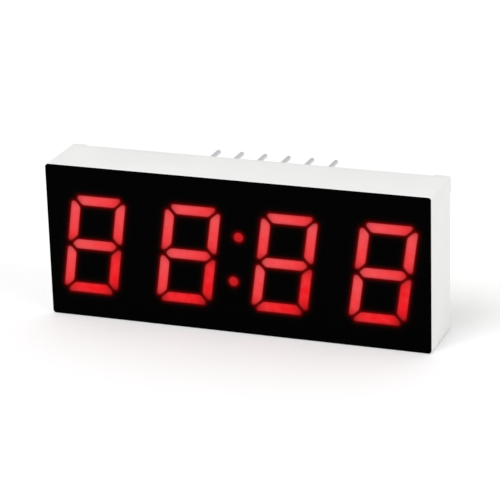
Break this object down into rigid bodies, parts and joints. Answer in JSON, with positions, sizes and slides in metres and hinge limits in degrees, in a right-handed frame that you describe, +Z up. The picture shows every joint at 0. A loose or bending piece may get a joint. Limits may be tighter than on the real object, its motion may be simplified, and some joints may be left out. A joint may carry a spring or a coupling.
{
  "type": "seven segment display",
  "caption": "Clock-type light-emitting numeric display: slanted red digits and a colon in a black-faced white body, with two rows of wire pins behind.",
  "frame": {"origin": "middle of the base that the module stands on, half way through the body's depth", "axes": "+X to the right as the digits are read, -Y out of the lit face, +Y along the pins, +Z up the digits"},
  "size_m": [0.0402, 0.013, 0.016],
  "materials": {
    "body": "moulded white thermoplastic, fine satin",
    "mask": "black printed mask, smooth satin",
    "light": "red diffusing epoxy, lit from behind",
    "chip": "sawn semiconductor",
    "board": "green solder mask on glass laminate",
    "copper": "etched copper",
    "solder": "reflowed tin solder",
    "potting": "cast milky epoxy, smooth",
    "pin": "tinned wire"
  },
  "bodies": {
    "root": {"housing": "body", "face_mask": "mask", "digit_1_segment_a": "light", "digit_1_segment_b": "light", "digit_1_segment_c": "light", "digit_1_segment_d": "light", "digit_1_segment_e": "light", "digit_1_segment_f": "light", "digit_1_segment_g": "light", "digit_2_segment_a": "light", "digit_2_segment_b": "light", "digit_2_segment_c": "light", "digit_2_segment_d": "light", "digit_2_segment_e": "light", "digit_2_segment_f": "light", "digit_2_segment_g": "light", "digit_3_segment_a": "light", "digit_3_segment_b": "light", "digit_3_segment_c": "light", "digit_3_segment_d": "light", "digit_3_segment_e": "light", "digit_3_segment_f": "light", "digit_3_segment_g": "light", "digit_4_segment_a": "light", "digit_4_segment_b": "light", "digit_4_segment_c": "light", "digit_4_segment_d": "light", "digit_4_segment_e": "light", "digit_4_segment_f": "light", "digit_4_segment_g": "light", "colon_dot_upper": "light", "colon_dot_lower": "light", "digit_1_chips": "chip", "digit_2_chips": "chip", "digit_3_chips": "chip", "digit_4_chips": "chip", "colon_chips": "chip", "circuit_board": "board", "copper_pads": "copper", "solder_joints": "solder", "back_potting": "potting", "pin_1": "pin", "pin_2": "pin", "pin_3": "pin", "pin_4": "pin", "pin_5": "pin", "pin_6": "pin", "pin_7": "pin", "pin_8": "pin", "pin_9": "pin", "pin_10": "pin", "pin_11": "pin", "pin_12": "pin"}
  },
  "joints": []
}
